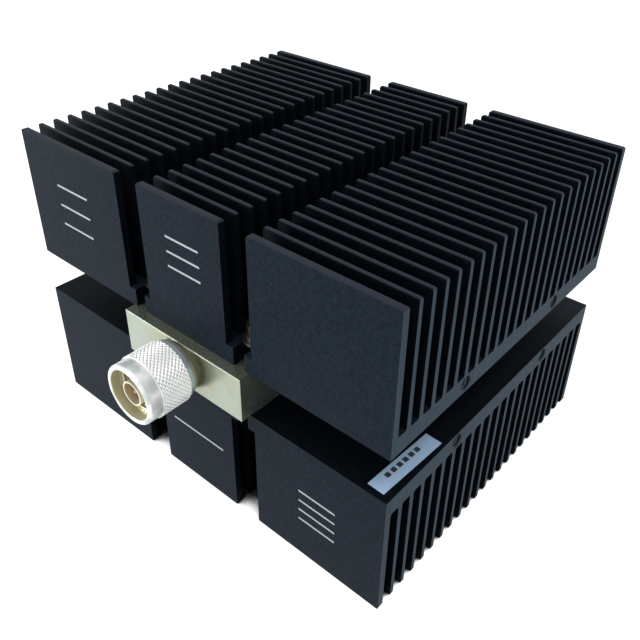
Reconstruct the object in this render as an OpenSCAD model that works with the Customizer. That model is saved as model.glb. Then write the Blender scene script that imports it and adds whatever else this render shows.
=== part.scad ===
// High power coaxial load: two finned heat sinks clamped back to back on a metal block,
// with a male coaxial connector on the front of the block.
// The connector points along -Y, the fins stand up and down along Z, and the part rests on
// the tips of the lower fins. The origin is the middle of that resting face.

/* [Heat sinks] */
// Width of each heat sink, along its fins
sink_w = 152.4; // [140:0.2:180]
// Clear gap between the feet of two fins
fin_gap = 3.7; // [2.5:0.1:4.5]
// Thickness of an inner fin at its foot
fin_t = 1.7; // [1.5:0.1:2.5]
// Thickness of an inner fin at its tip
fin_tip_t = 1.4; // [1.3:0.1:1.5]
// Thickness of the first and of the last fin
end_fin_t = 2.4; // [2:0.1:4]
// Number of inner fins, between the first and the last
inner_fins = 21; // [15:2:25]
// Height of the fins above the base
fin_h = 39.8; // [25:0.2:60]
// Thickness of the base
base_t = 6.2; // [5.2:0.1:9]
// Radius along both edges of a fin's tip
tip_r = 0.5; // [0.3:0.05:0.6]
// Radius of the fillet at a fin's root
root_r = 0.9; // [0.4:0.05:1.2]
// Radius of a fin's upper corners
corner_r = 0.9; // [0.5:0.1:3]

/* [Channels and mounting slots] */
// Width of the middle column of fins
middle_w = 34.2; // [33:0.2:40]
// Width of each channel cut through the fins
channel_w = 10.2; // [9.8:0.1:14]
// Width of the slots and holes in the base for the mounting screws
slot_w = 4.6; // [4.4:0.1:5.5]
// Distance of the outer screws from the front and from the rear edge
screw_inset = 8; // [6:0.5:14]

/* [Side holes] */
// Diameter of the tapped holes in the side edges of the bases
side_hole_d = 4.2; // [3:0.1:4.6]
// Depth of these holes
side_hole_depth = 12; // [6:0.5:16]
// Distance between the two holes of one edge
side_hole_pitch = 53.3; // [30:0.1:80]
// How far the right pair lies behind the middle of the sink, and the left pair in front of it
side_hole_shift = 0.3; // [0.05:0.05:2]
// Width of the countersink round each hole
side_hole_chamfer = 0.4; // [0.1:0.05:0.45]

/* [Block] */
// Metal outside the centre lines of the mounting screws, at both sides of the block
block_margin = 3.8; // [3.4:0.1:8]
// Height of the block, which is the gap between the heat sinks
block_h = 15.9; // [15.2:0.1:22]
// How far the block stands out in front of the heat sinks
block_front = 3.8; // [1:0.1:10]
// Bevel round the block's front face
block_bevel = 0.25; // [0.2:0.05:1]
// Depth of the tapped holes for the mounting screws
tap_depth = 6.8; // [5:0.1:7]

/* [Resistor cavity] */
// Thickness of the wall between the front face and the cavity
front_wall = 12; // [11:0.5:20]
// Width of the cavity
cavity_w = 26; // [25.5:0.1:27]
// Length of the cavity, front to back
cavity_l = 16; // [15:0.5:24]
// Thickness of the lid
lid_t = 2; // [1.6:0.1:2.4]
// Ledge that carries the lid, all round the cavity
lid_ledge = 5; // [4.4:0.1:5.2]
// Clearance between the lid and its recess
lid_gap = 0.1; // [0.05:0.05:0.2]

/* [Resistor] */
// Clearance between the ends of the resistor's flange and the walls of the cavity
flange_end_gap = 0.6; // [0.3:0.1:1.4]
// Depth of the flange, front to back
flange_l = 9.8; // [8:0.1:11]
// Thickness of the flange
flange_t = 2; // [1.5:0.1:2.6]
// Side of the square ceramic chip
chip_w = 9.4; // [7:0.1:10]
// Thickness of the chip
chip_t = 1; // [0.6:0.1:1.3]
// Thickness of the ceramic cap on the chip
cap_t = 1.2; // [0.8:0.1:2]
// Width of the tab
tab_w = 3; // [1.5:0.1:4]
// Thickness of the tab
tab_t = 0.2; // [0.1:0.05:0.3]
// Length of the tab that lies on the chip
tab_lap = 2.6; // [1.5:0.1:4]
// Gap between the end of the inner conductor's post and the flange
post_gap = 1; // [0.6:0.1:1.2]

/* [Coupling nut] */
// Length of the nut
nut_l = 18; // [17:0.1:22]
// Diameter of the smooth collar round the mouth
collar_d = 19.9; // [19:0.1:20.4]
// Length of the collar
collar_l = 4.7; // [3:0.1:6]
// Diameter over the knurl
knurl_d = 20.8; // [20.6:0.1:23]
// Length of the knurled grip
knurl_l = 10.3; // [8:0.1:10.8]
// Rounded shoulder between the knurl and the collar
shoulder_r = 0.4; // [0.1:0.05:0.6]
// Diameter of the smooth band behind the knurl
band_d = 19.6; // [19:0.1:20.4]
// Diameter of the rear rim
rim_d = 18.6; // [17.8:0.1:19.4]
// Length of the rear rim
rim_l = 1.2; // [0.8:0.1:1.6]
// Radius round the outside of the mouth
mouth_r = 0.9; // [0.2:0.05:1.1]
// Diameter of the mouth, in front of the thread
mouth_d = 16.6; // [16.2:0.1:17.2]
// Length of the mouth, in front of the thread
mouth_l = 3.4; // [1:0.1:4]
// Bore diameter of the threaded part
thread_d = 15.2; // [14.9:0.05:15.8]
// Length of the threaded part
thread_l = 6.8; // [5:0.1:8]
// Gap between the nut and the shoulder behind it
nut_gap = 0.3; // [0.2:0.05:0.6]

/* [Connector] */
// Outer diameter of the outer contact
contact_d = 8.06; // [7.9:0.02:8.12]
// Bore of the outer contact and of the shell
bore_d = 7; // [6.8:0.05:7.1]
// Length of the outer contact in front of the shell's body
contact_l = 9.2; // [8.5:0.1:10]
// Diameter of the shell's body, on which the nut turns
shell_d = 12.6; // [12:0.1:13]
// Length of the body, from the shoulder to its front face
shell_l = 7.8; // [7.2:0.1:8]
// Diameter of the shoulder that bears on the block
shoulder_d = 16; // [14:0.1:17]
// Thickness of the shoulder
shoulder_t = 1.4; // [1:0.1:2]
// Diameter of the threaded shank in the block
shank_d = 12.8; // [11:0.1:13.2]
// Length of the shank
shank_l = 6; // [4:0.1:6.5]
// Radial clearance of the nut on the shell
nut_fit = 0.08; // [0.03:0.01:0.1]
// Radial clearance between pieces that are fitted together for good
seat_fit = 0.05; // [0.02:0.01:0.1]

/* [Retaining ring and gasket] */
// Thickness of the retaining ring
ring_t = 0.8; // [0.5:0.05:1]
// Radial width of the ring's wire
ring_w = 1; // [0.8:0.05:1.1]
// Depth of the ring's groove in the shell
ring_seat = 0.6; // [0.4:0.05:0.8]
// Clearance of the ring to the groove inside the nut
ring_gap = 0.25; // [0.15:0.05:0.3]
// Opening of the ring, in degrees
ring_open = 40; // [20:5:70]
// Thickness of the gasket
gasket_t = 1.2; // [0.8:0.1:1.5]
// Radial width of the gasket
gasket_w = 1.9; // [1.2:0.1:2.1]

/* [Inner conductor] */
// Diameter of the pin
pin_d = 1.65; // [1.6:0.01:1.68]
// Distance of the pin's tip behind the front of the outer contact
pin_recess = 1; // [0.5:0.1:2]
// Distance of the pin's root behind the front of the outer contact
pin_root = 5.3; // [4.8:0.1:6]
// Length of the pin's taper
pin_taper = 0.7; // [0.3:0.1:1.2]
// Diameter of the rod behind the pin
rod_d = 3.04; // [2.8:0.02:3.2]
// Distance of the bead behind the front of the outer contact
bead_recess = 5.8; // [5.4:0.1:8]
// Diameter of the post that carries the tab
post_d = 2; // [1.6:0.1:2.4]
// Length of the post
post_l = 2.2; // [1.5:0.1:2.6]
// Distance of the post's flat from the connector's axis
post_flat = 0.6; // [0.4:0.05:0.7]

/* [Fasteners] */
// Thread diameter of the mounting screws
screw_d = 4.1; // [3.5:0.05:4.2]
// Head diameter of the mounting screws
head_d = 6.9; // [6:0.1:8]
// Head height of the mounting screws
head_h = 4.2; // [2.5:0.1:5]
// Size of the hexagon socket, across the corners
socket_d = 4.1; // [3:0.1:4.5]
// Depth of the socket
socket_depth = 2.2; // [1.5:0.1:2.3]
// Length of thread in the block
screw_grip = 6.4; // [4:0.1:6.6]
// Outer diameter of the flat washers
washer_d = 9.4; // [8.5:0.1:9.6]
// Thickness of the flat washers
washer_t = 0.9; // [0.5:0.05:1.2]
// Outer diameter of the split lock washers
lock_d = 7.2; // [6.6:0.1:8]
// Thickness of the lock washers
lock_t = 1.1; // [0.6:0.05:1.5]
// Width of the split in a lock washer
lock_split = 0.9; // [0.5:0.1:1.2]
// Hole in both washers
washer_hole_d = 4.4; // [4.3:0.05:4.6]
// Thread diameter of the lid screws
lid_screw_d = 2; // [1.6:0.1:2.2]
// Length of the lid screws
lid_screw_l = 5.5; // [4:0.1:6]
// Diameter of their flat countersunk heads
lid_head_d = 3.8; // [3.2:0.1:4]
// Height of these heads
lid_head_h = 1.1; // [0.8:0.1:1.3]
// Thread diameter of the resistor's screws
small_screw_d = 2.4; // [2:0.1:2.6]
// Head diameter of the resistor's screws
small_head_d = 4.4; // [4:0.1:4.8]
// Head height of the resistor's screws
small_head_h = 1.6; // [1.2:0.1:2]
// Length of thread of the resistor's screws in the block
small_grip = 2.6; // [2:0.1:2.8]
// Width of the driver slots and of the arms of the cross recesses
driver_w = 0.6; // [0.4:0.05:0.8]

/* [Label] */
// Length of the bare label on the lower heat sink
label_l = 26; // [15:0.5:40]
// Width of the label
label_w = 5.6; // [4:0.1:8]
// Thickness of the label
label_t = 0.12; // [0.1:0.01:0.3]
// Distance of the label's middle from the right edge
label_edge = 4.75; // [4.35:0.05:20]
// Distance of the label's middle from the front edge
label_front = 15.2; // [14.5:0.1:30]
// Slant of the label, in degrees
label_slant = 2.7; // [0:0.1:4]

/* [Hidden] */

$fn = 48;
// Overlap of shapes that are joined, and overrun of cuts
weld = 0.2;

fins = inner_fins + 2;
fin_pitch = fin_t + fin_gap;
sink_l = 2 * end_fin_t + inner_fins * fin_pitch + fin_gap;
sink_h = base_t + fin_h;
channel_x = (middle_w + channel_w) / 2;
block_w = 2 * (channel_x + block_margin);
screw_rows = [-sink_l / 2 + screw_inset, 0, sink_l / 2 - screw_inset];

block_low = sink_h;
block_top = block_low + block_h;
axis_z = block_low + block_h / 2;
front_y = -sink_l / 2 - block_front;

// Heights in the cavity follow from the connector's axis, downwards
tab_top = axis_z - post_flat;
chip_top = tab_top - tab_t;
flange_top = chip_top - chip_t;
cavity_floor = flange_top - flange_t;
cavity_front = front_y + front_wall;
cavity_y = cavity_front + cavity_l / 2;
lid_seat = block_top - lid_t;
lid_w = cavity_w + 2 * lid_ledge;
lid_l = cavity_l + 2 * lid_ledge;
lid_screw_x = cavity_w / 2 + lid_ledge / 2;
lid_screw_y = cavity_l / 2 + lid_ledge / 2;
// The resistor stands clear of the post, and its screws stand in the flange's ends
resistor_y = cavity_front + post_l + post_gap + flange_l / 2;
flange_w = cavity_w - 2 * flange_end_gap;
small_screw_x = (flange_w + chip_w) / 4;

// Distances along the connector's axis, from the block's front face
body_front = shoulder_t + shell_l;
contact_front = body_front + contact_l;
nut_rear = shoulder_t + nut_gap;
nut_front = nut_rear + nut_l;
collar_rear = nut_front - collar_l;
knurl_front = collar_rear - shoulder_r;
knurl_rear = knurl_front - knurl_l;
thread_front = nut_front - mouth_l;
thread_rear = thread_front - thread_l;
nut_seat = body_front - gasket_t;
ring_z = nut_rear + (nut_seat - nut_rear) / 2;
ring_inner = shell_d / 2 - ring_seat;

// Turns a shape so that its Z axis runs out of the block's front face, along the connector
module on_connector_axis() {
    translate([0, front_y, axis_z]) rotate([90, 0, 0]) children();
}

// A ring with a square section
module ring(outer_d, inner_d, height) {
    difference() {
        cylinder(d = outer_d, h = height);
        translate([0, 0, -weld]) cylinder(d = inner_d, h = height + 2 * weld);
    }
}

// Places a shape at each of the six mounting screws, on the face that carries them
module at_screws() {
    for (side = [-1, 1]) for (y = screw_rows)
        translate([side * channel_x, y, 0]) children();
}

// Turns pieces made for the upper heat sink, on its base, to their place on the lower one
module below() {
    translate([0, 0, block_low]) rotate([0, 180, 0]) children();
}

module above() {
    translate([0, 0, block_top]) children();
}

// Front edge of a fin, from the first at the front to the last at the rear
function fin_y(i) = -sink_l / 2 + (i == 0 ? 0 : end_fin_t + fin_gap + (i - 1) * fin_pitch);
function at_end(i) = i == 0 || i == fins - 1;
function thickness(i) = at_end(i) ? end_fin_t : fin_t;
function tip_thickness(i) = at_end(i) ? end_fin_t : fin_tip_t;

// A fin that tapers from its root fillets to the round edges of its tip
module fin_bar(foot, tip) {
    lean = (foot - tip) / 2;
    taper_end = sink_h - tip_r;
    polygon([[0, 0], [foot, 0], [foot, base_t + root_r], [foot - lean, taper_end],
        [lean, taper_end], [0, base_t + root_r]]);
    translate([lean + tip_r, 0]) square([tip - 2 * tip_r, sink_h]);
    for (y = [lean + tip_r, foot - lean - tip_r])
        translate([y, taper_end]) circle(tip_r);
}

// A column of fins seen from the front, with round upper corners
module column_bar(width) {
    square([width, sink_h - corner_r]);
    translate([corner_r, 0]) square([width - 2 * corner_r, sink_h]);
    for (x = [corner_r, width - corner_r])
        translate([x, sink_h - corner_r]) circle(corner_r);
}

// Fillet that fills the corner between the base and the foot of a fin
module root_fillet() {
    difference() {
        translate([-weld, -weld]) square(root_r + weld);
        translate([root_r, root_r]) circle(root_r);
    }
}

// Section of the extrusion across its fins: Y to the right, Z up
module fin_section() {
    translate([-sink_l / 2, 0]) square([sink_l, base_t]);
    for (i = [0:fins - 1])
        translate([fin_y(i), 0]) fin_bar(thickness(i), tip_thickness(i));
    for (i = [0:fins - 2]) {
        translate([fin_y(i) + thickness(i), base_t]) root_fillet();
        translate([fin_y(i + 1), base_t]) mirror([1, 0]) root_fillet();
    }
}

// Outline of the sawn sink from the front: the base and three columns of fins
module column_outline() {
    side_w = (sink_w - middle_w) / 2 - channel_w;
    translate([-sink_w / 2, 0]) square([sink_w, base_t]);
    translate([-sink_w / 2, 0]) column_bar(side_w);
    translate([-middle_w / 2, 0]) column_bar(middle_w);
    translate([sink_w / 2 - side_w, 0]) column_bar(side_w);
}

// Screw slots that are open at the front and rear edges, with a round hole half-way
module screw_slots() {
    for (side = [-1, 1]) translate([side * channel_x, 0, -weld]) {
        for (y = screw_rows) translate([0, y, 0]) cylinder(d = slot_w, h = base_t + 2 * weld);
        for (end = [-1, 1])
            translate([-slot_w / 2, end > 0 ? sink_l / 2 - screw_inset : -sink_l / 2 - weld, 0])
                cube([slot_w, screw_inset + weld, base_t + 2 * weld]);
    }
}

// Tapped holes in both side edges of the base, countersunk. The sign of right is 1 if +X stays
// the right side of the assembly, and -1 if the sink is turned over afterwards.
module side_holes(right) {
    for (side = [-1, 1]) for (end = [-1, 1])
        translate([side * sink_w / 2, end * side_hole_pitch / 2 + side * right * side_hole_shift,
            base_t / 2])
            rotate([0, -side * 90, 0]) {
                translate([0, 0, -weld]) cylinder(d = side_hole_d, h = side_hole_depth + weld);
                translate([0, 0, -weld])
                    cylinder(d1 = side_hole_d + 2 * (side_hole_chamfer + weld), d2 = side_hole_d,
                        h = side_hole_chamfer + weld);
            }
}

// One heat sink with its mounting face at Z = 0 and its fins up
module sink(right) {
    difference() {
        intersection() {
            rotate([90, 0, 90])
                linear_extrude(height = sink_w, center = true) fin_section();
            rotate([90, 0, 0])
                linear_extrude(height = sink_l + 2 * weld, center = true) column_outline();
        }
        screw_slots();
        side_holes(right);
    }
}

module lower_sink() {
    color("#23282d") below() sink(-1);
}

module upper_sink() {
    color("#23282d") above() sink(1);
}

// The block's body, with the bevel round its front face
module block_body() {
    rear_y = sink_l / 2;
    half_w = block_w / 2;
    half_h = block_h / 2;
    intersection() {
        translate([0, 0, block_low]) linear_extrude(height = block_h)
            polygon([[-half_w, rear_y], [-half_w, front_y + block_bevel],
                [-half_w + block_bevel, front_y], [half_w - block_bevel, front_y],
                [half_w, front_y + block_bevel], [half_w, rear_y]]);
        translate([0, 0, axis_z]) rotate([90, 0, 90])
            linear_extrude(height = block_w + 2 * weld, center = true)
                polygon([[rear_y, -half_h], [front_y + block_bevel, -half_h],
                    [front_y, -half_h + block_bevel], [front_y, half_h - block_bevel],
                    [front_y + block_bevel, half_h], [rear_y, half_h]]);
    }
}

// Tapped holes for the mounting screws in the block's upper and lower faces
module block_taps() {
    for (z = [block_low - weld, block_top - tap_depth]) translate([0, 0, z])
        at_screws() cylinder(d = screw_d + 2 * seat_fit, h = tap_depth + weld);
}

module at_lid_screws() {
    for (x = [-lid_screw_x, lid_screw_x]) for (y = [-lid_screw_y, lid_screw_y])
        translate([x, cavity_y + y, 0]) children();
}

module at_resistor_screws() {
    for (side = [-1, 1]) translate([side * small_screw_x, resistor_y, 0]) children();
}

module block() {
    color("#a9ab94") difference() {
        block_body();
        on_connector_axis() {
            translate([0, 0, -shank_l - seat_fit])
                cylinder(d = shank_d + 2 * seat_fit, h = shank_l + seat_fit + weld);
            translate([0, 0, -front_wall - weld]) cylinder(d = bore_d, h = front_wall);
        }
        translate([-cavity_w / 2, cavity_front, cavity_floor])
            cube([cavity_w, cavity_l, block_h]);
        translate([-lid_w / 2, cavity_y - lid_l / 2, lid_seat])
            cube([lid_w, lid_l, lid_t + weld]);
        translate([0, 0, block_top - lid_screw_l - seat_fit])
            at_lid_screws() cylinder(d = lid_screw_d + 2 * seat_fit, h = lid_screw_l);
        translate([0, 0, cavity_floor - small_grip - seat_fit]) at_resistor_screws()
            cylinder(d = small_screw_d + 2 * seat_fit, h = small_grip + seat_fit + weld);
        block_taps();
    }
}

// Hole for a flat headed screw, with its rim at Z = 0
module lid_screw_hole() {
    hole_r = lid_screw_d / 2 + seat_fit;
    rim_r = lid_head_d / 2 + seat_fit;
    rotate_extrude() polygon([[0, -lid_t - weld], [hole_r, -lid_t - weld],
        [hole_r, -lid_head_h - seat_fit], [rim_r, -seat_fit], [rim_r, weld], [0, weld]]);
}

// Flat lid, let in flush with the block's upper face
module cavity_lid() {
    color("#9c9e8b") difference() {
        translate([-lid_w / 2 + lid_gap, cavity_y - lid_l / 2 + lid_gap, lid_seat])
            cube([lid_w - 2 * lid_gap, lid_l - 2 * lid_gap, lid_t]);
        translate([0, 0, block_top]) at_lid_screws() lid_screw_hole();
    }
}

// Flat headed screws of the lid, with cross recesses
module lid_screws() {
    color("silver") at_lid_screws() difference() {
        translate([0, 0, block_top - lid_screw_l]) {
            cylinder(d = lid_screw_d, h = lid_screw_l);
            translate([0, 0, lid_screw_l - lid_head_h])
                cylinder(d1 = lid_screw_d, d2 = lid_head_d, h = lid_head_h);
        }
        for (turn = [0, 90]) translate([0, 0, block_top]) rotate([0, 0, turn])
            cube([lid_head_d / 2, driver_w, lid_head_h], center = true);
    }
}

module resistor_flange() {
    color("#b5704a") difference() {
        translate([-flange_w / 2, resistor_y - flange_l / 2, cavity_floor])
            cube([flange_w, flange_l, flange_t]);
        translate([0, 0, cavity_floor - weld])
            at_resistor_screws() cylinder(d = small_screw_d + 2 * seat_fit, h = flange_t + 2 * weld);
    }
}

module resistor_chip() {
    color("ivory") translate([-chip_w / 2, resistor_y - chip_w / 2, flange_top])
        cube([chip_w, chip_w, chip_t]);
}

// Ceramic cap over the resistive film, behind the tab
module resistor_cap() {
    color("white") translate([-chip_w / 2, resistor_y - chip_w / 2 + tab_lap, chip_top])
        cube([chip_w, chip_w - tab_lap, cap_t]);
}

// Thin silver tab from the chip to the flat of the inner conductor's post
module resistor_tab() {
    tab_end = resistor_y - chip_w / 2 + tab_lap - seat_fit;
    tab_start = cavity_front + seat_fit;
    color("gainsboro") translate([-tab_w / 2, tab_start, chip_top])
        cube([tab_w, tab_end - tab_start, tab_t]);
}

// Two round headed screws hold the resistor's flange down
module resistor_screws() {
    color("silver") at_resistor_screws() difference() {
        union() {
            translate([0, 0, cavity_floor - small_grip])
                cylinder(d = small_screw_d, h = small_grip + flange_t + weld);
            translate([0, 0, flange_top]) cylinder(d = small_head_d, h = small_head_h);
        }
        translate([0, 0, flange_top + small_head_h])
            cube([small_head_d + weld, driver_w, small_head_h], center = true);
    }
}

// Outer conductor: shank in the block, shoulder, body for the nut, and thin outer contact
module connector_shell() {
    color("lightgray") on_connector_axis() rotate_extrude($fn = 96) difference() {
        union() {
            translate([0, -shank_l]) square([shank_d / 2, shank_l + weld]);
            square([shoulder_d / 2, shoulder_t]);
            square([shell_d / 2, body_front]);
            square([contact_d / 2, contact_front]);
        }
        translate([-weld, -shank_l - weld])
            square([bore_d / 2 + weld, shank_l + contact_front + 2 * weld]);
        translate([ring_inner, ring_z - ring_t / 2 - seat_fit])
            square([shell_d, ring_t + 2 * seat_fit]);
    }
}

// Outline of the nut's outside: radius to the right, length up, from the rear rim to the mouth
module nut_outside() {
    translate([0, nut_rear]) square([rim_d / 2, rim_l + weld]);
    translate([0, nut_rear + rim_l]) square([band_d / 2, knurl_rear - nut_rear - rim_l + weld]);
    translate([0, knurl_rear]) square([knurl_d / 2, knurl_l]);
    translate([0, knurl_front]) square([knurl_d / 2 - shoulder_r, shoulder_r]);
    translate([knurl_d / 2 - shoulder_r, knurl_front]) circle(shoulder_r);
    translate([0, collar_rear - weld]) square([collar_d / 2, collar_l + weld - mouth_r]);
    translate([0, nut_front - mouth_r]) square([collar_d / 2 - mouth_r, mouth_r]);
    translate([collar_d / 2 - mouth_r, nut_front - mouth_r]) circle(mouth_r);
}

// Outline of its inside: running bore, ring groove, gasket space, thread bore and mouth
module nut_inside() {
    run_r = shell_d / 2 + nut_fit;
    translate([-weld, nut_rear - weld]) square([run_r + weld, nut_l]);
    translate([0, ring_z - ring_t / 2 - ring_gap])
        square([ring_inner + seat_fit + ring_w + ring_gap, ring_t + 2 * ring_gap]);
    translate([0, nut_seat]) square([mouth_d / 2, thread_rear - nut_seat]);
    translate([0, thread_rear - weld]) square([thread_d / 2, thread_l + 2 * weld]);
    translate([0, thread_front]) square([mouth_d / 2, mouth_l + weld]);
}

// Coupling nut: smooth collar, grip and rear rim. The fine knurl and thread are not cut.
module coupling_nut() {
    color("gainsboro") on_connector_axis() rotate_extrude($fn = 96) difference() {
        nut_outside();
        nut_inside();
    }
}

// Open wire ring that sits in the shell's groove and keeps the nut on
module retaining_ring() {
    wedge = 2 * shell_d;
    color("silver") on_connector_axis() translate([0, 0, ring_z - ring_t / 2]) difference() {
        ring(2 * (ring_inner + seat_fit + ring_w), 2 * (ring_inner + seat_fit), ring_t);
        translate([0, 0, -weld]) linear_extrude(height = ring_t + 2 * weld)
            polygon([[0, 0], [wedge, -wedge * tan(ring_open / 2)],
                [wedge, wedge * tan(ring_open / 2)]]);
    }
}

// Rubber gasket round the root of the outer contact
module gasket() {
    inner = contact_d + 2 * seat_fit;
    color("#c86432") on_connector_axis() translate([0, 0, body_front])
        ring(inner + 2 * gasket_w, inner, gasket_t);
}

// Plastic bead that fills the shell's bore round the inner conductor
module bead() {
    bead_l = front_wall + contact_front - bead_recess;
    color("white") on_connector_axis() translate([0, 0, -front_wall])
        ring(bore_d - 2 * seat_fit, rod_d + 2 * seat_fit, bead_l);
}

// Inner conductor: tapered pin, rod through the bead, and a post with a flat underneath
module contact_pin() {
    root = contact_front - pin_root;
    tip = contact_front - pin_recess;
    color("goldenrod") on_connector_axis() {
        translate([0, 0, root - weld]) cylinder(d = pin_d, h = tip - root - pin_taper + weld);
        translate([0, 0, tip - pin_taper]) cylinder(d1 = pin_d, d2 = pin_d / 2, h = pin_taper);
        translate([0, 0, -front_wall]) cylinder(d = rod_d, h = root + front_wall);
        difference() {
            translate([0, 0, -front_wall - post_l]) cylinder(d = post_d, h = post_l + weld);
            translate([-post_d, -post_flat - post_d, -front_wall - post_l - weld])
                cube([2 * post_d, post_d, post_l + weld]);
        }
    }
}

// Socket head screws through the slots of one base
module mounting_screws() {
    under_head = base_t + washer_t + lock_t;
    at_screws() difference() {
        union() {
            translate([0, 0, -screw_grip]) cylinder(d = screw_d, h = screw_grip + under_head + weld);
            translate([0, 0, under_head]) cylinder(d = head_d, h = head_h);
        }
        translate([0, 0, under_head + head_h - socket_depth])
            cylinder(d = socket_d, h = socket_depth + weld, $fn = 6);
    }
}

// Split spring washers under the screw heads
module lock_washers() {
    at_screws() translate([0, 0, base_t + washer_t]) difference() {
        ring(lock_d, washer_hole_d, lock_t);
        translate([0, -lock_split / 2, -weld]) cube([lock_d, lock_split, lock_t + 2 * weld]);
    }
}

module washers() {
    at_screws() translate([0, 0, base_t]) ring(washer_d, washer_hole_d, washer_t);
}

module lower_screws() {
    color("silver") below() mounting_screws();
}

module lower_lock_washers() {
    color("silver") below() lock_washers();
}

module lower_washers() {
    color("silver") below() washers();
}

module upper_screws() {
    color("silver") above() mounting_screws();
}

module upper_lock_washers() {
    color("silver") above() lock_washers();
}

module upper_washers() {
    color("silver") above() washers();
}

// Bare label, stuck a little askew at the right front of the lower heat sink
module serial_label() {
    color("#b9c6dc")
        translate([sink_w / 2 - label_edge, -sink_l / 2 + label_front, block_low + label_t / 2])
            rotate([0, 0, -label_slant]) cube([label_w, label_l, label_t], center = true);
}

lower_sink();
upper_sink();
block();
cavity_lid();
lid_screws();
resistor_flange();
resistor_chip();
resistor_cap();
resistor_tab();
resistor_screws();
connector_shell();
coupling_nut();
retaining_ring();
gasket();
bead();
contact_pin();
lower_screws();
lower_lock_washers();
lower_washers();
upper_screws();
upper_lock_washers();
upper_washers();
serial_label();
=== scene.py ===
"""Looks of a high power coaxial load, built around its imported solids.

Two black anodised heat sinks clamp a plated block, and a knurled coupling nut turns on the
connector at the block's front. Lengths are written in millimetres and turned into metres
where vertices and objects are made.
"""

import math
from types import SimpleNamespace

import bpy
from bpy.props import (
    FloatProperty,
    FloatVectorProperty,
    IntProperty,
    PointerProperty,
)
from mathutils import Matrix, Vector


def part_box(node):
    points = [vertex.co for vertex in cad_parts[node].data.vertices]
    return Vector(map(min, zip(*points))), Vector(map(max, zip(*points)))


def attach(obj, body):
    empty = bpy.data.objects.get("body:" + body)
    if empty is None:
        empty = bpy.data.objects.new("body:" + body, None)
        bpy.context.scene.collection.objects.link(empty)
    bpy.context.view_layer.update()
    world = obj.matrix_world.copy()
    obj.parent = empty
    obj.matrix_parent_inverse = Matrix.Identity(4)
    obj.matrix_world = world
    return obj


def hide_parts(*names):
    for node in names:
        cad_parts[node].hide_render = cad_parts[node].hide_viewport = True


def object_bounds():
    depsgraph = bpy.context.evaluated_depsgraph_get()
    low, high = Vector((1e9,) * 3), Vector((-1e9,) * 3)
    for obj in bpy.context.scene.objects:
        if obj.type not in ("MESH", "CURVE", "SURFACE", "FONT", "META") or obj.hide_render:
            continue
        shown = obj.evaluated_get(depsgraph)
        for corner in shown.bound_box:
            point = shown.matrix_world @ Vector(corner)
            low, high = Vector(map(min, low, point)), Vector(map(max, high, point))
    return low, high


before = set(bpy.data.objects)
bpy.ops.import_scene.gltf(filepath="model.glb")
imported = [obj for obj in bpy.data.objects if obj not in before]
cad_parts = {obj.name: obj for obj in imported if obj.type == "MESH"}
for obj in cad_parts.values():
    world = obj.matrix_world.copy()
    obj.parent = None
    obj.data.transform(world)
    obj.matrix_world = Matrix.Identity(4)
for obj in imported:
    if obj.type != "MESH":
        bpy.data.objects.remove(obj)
cad_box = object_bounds()

bl_info = {
    "name": "Coaxial load looks",
    "version": (1, 0, 0),
    "blender": (4, 5, 0),
    "location": "View3D > Sidebar > Coaxial load",
    "description": "Finishes, knurled nut, threads and studio of a heat-sunk coaxial load",
    "category": "Object",
}

MM = 0.001
FULL_TURN = 2 * math.pi
# Edges that turn by more than this stay sharp
SHARP_ANGLE = math.radians(28)

HEAT_SINKS = ("lower_sink", "upper_sink")
PLATED_PARTS = ("block", "cavity_lid")
SCREWS = ("lower_screws", "upper_screws", "lid_screws", "resistor_screws")
WASHERS = ("lower_washers", "upper_washers")
SPRINGS = ("lower_lock_washers", "upper_lock_washers", "retaining_ring")
CERAMICS = ("resistor_chip", "resistor_cap")
# Plain bars on the front faces: middle along X, height and length in millimetres
PRINTED_BARS = (
    (-52, 93, 16), (-52, 86, 16), (-52, 79, 16),
    (1, 95, 14), (1, 90, 14), (1, 85, 14),
    (0, 22, 24),
    (52, 28, 14), (52, 24, 14), (52, 20, 14), (52, 16, 14),
)
# How far print reaches into the face that it lies on, in millimetres
PRINT_SINK = 0.01
# How far the label's row of blocks lies from the label's middle along X and Y, in millimetres
BLOCKS_X, BLOCKS_Y = -0.8, -0.4
# Depth of a side hole and radius of the bore in the connector's shell, in millimetres
HOLE_DEPTH = 12
SHELL_BORE = 3.5

# Colours of small areas, beside the main colours in the settings
OXIDE_SPECK = (0.05, 0.06, 0.07)
# Colour of the painted reflections on the nut's collar
REFLECTION_SILVER = (0.50, 0.60, 0.58)
PIT_SILVER = (0.56, 0.58, 0.60)
SHOULDER_SILVER = (0.58, 0.62, 0.60)
BAND_SILVER = (0.40, 0.52, 0.57)
RIM_BROWN = (0.30, 0.27, 0.20)
SHELL_CREAM = (0.88, 0.86, 0.78)
SHELL_CLOUD = (0.76, 0.74, 0.64)
SHELL_TAN = (0.64, 0.55, 0.38)
# Colour of the painted shade on the shell between the nut and the block
SHELL_SHADE = (0.11, 0.10, 0.06)

# Lamps: name, the setting with its power, place and width in metres
LAMPS = (
    ("front_lamp", "front", (-0.62, -0.70, 0.17), 0.40),
    ("top_lamp", "top", (-0.10, -0.25, 0.90), 0.40),
    ("rear_lamp", "rear", (0.30, 0.75, 0.66), 0.15),
)
LAMP_TARGET = (0, 0, 0.05)
# Half the floor's width, and how far from the load its shade reaches, in metres
FLOOR_HALF = 12.0
SHADE_REACH = 0.06
# Openness of the floor at which its shade is full and at which it ends
SHADE_FULL, SHADE_END = 0.20, 0.44
FLOOR_SHADE = (0.02, 0.02, 0.02)
# The floor's own white, and its share in the picture and in reflections
GLOW = 1.4
GLOW_SEEN, GLOW_REFLECTED = 0.75, 0.55
# Width of the camera's sensor in millimetres, and where its view begins and ends in metres
SENSOR_WIDTH = 36
NEAREST, FARTHEST = 0.01, 60


# Sizes and colours that a user may change


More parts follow.
